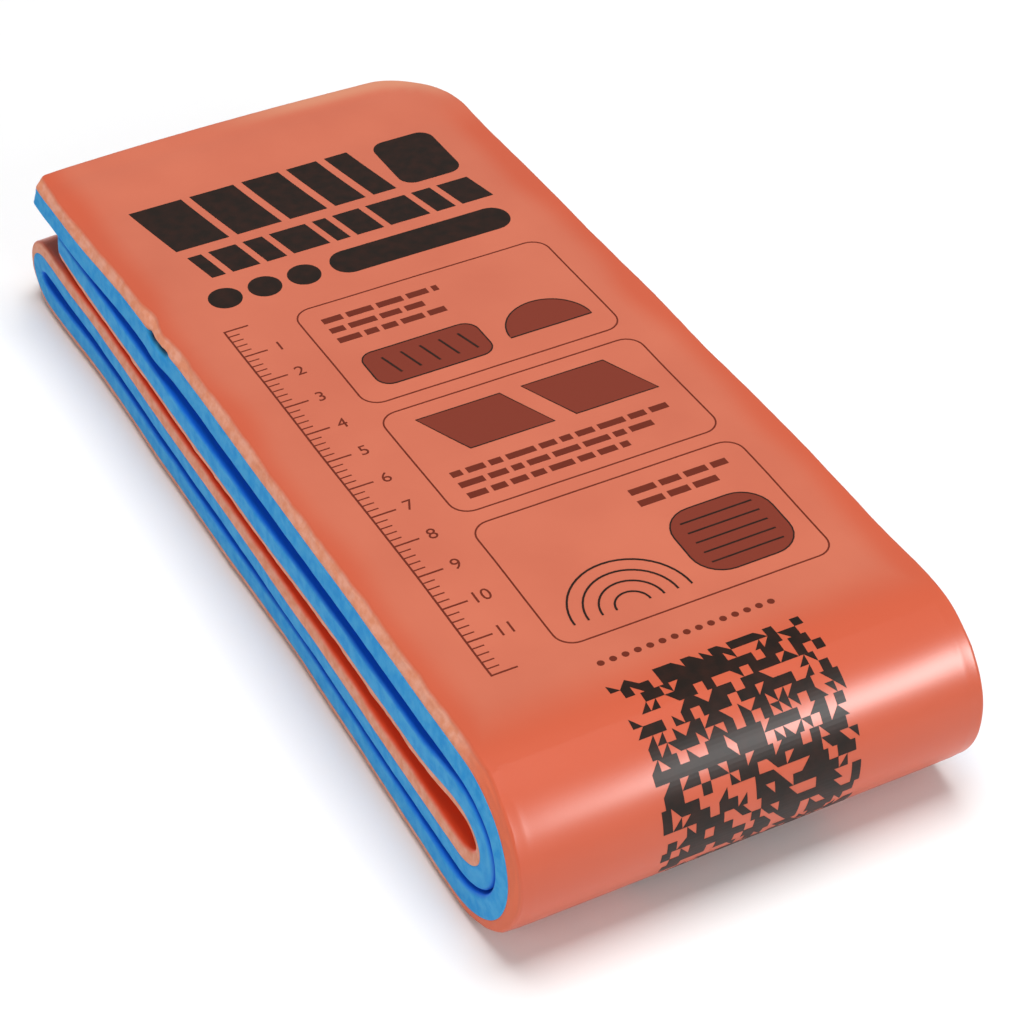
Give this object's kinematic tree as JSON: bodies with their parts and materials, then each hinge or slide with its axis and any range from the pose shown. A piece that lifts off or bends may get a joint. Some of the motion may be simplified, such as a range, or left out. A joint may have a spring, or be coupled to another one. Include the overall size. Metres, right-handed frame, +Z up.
{
  "type": "moldable splint",
  "caption": "Flat-folded moldable splint: a long padded strip with a soft metal core between an orange and a thicker blue closed-cell foam sheet, folded into flat layers.",
  "frame": {"origin": "centre of the folded pack's footprint, on the surface that it lies on", "axes": "+Z up out of the printed orange face, +Y along the folded length towards the free end of the top layer, +X across the strip's width"},
  "size_m": [0.1028, 0.2362, 0.0383],
  "materials": {
    "orange_foam": "satin closed-cell foam skin",
    "blue_foam": "matte closed-cell foam",
    "core_metal": "satin",
    "print_ink": "flat printed ink"
  },
  "bodies": {
    "root": {"orange_foam": "orange_foam", "blue_foam": "blue_foam", "aluminium_core": "core_metal"}
  },
  "joints": []
}
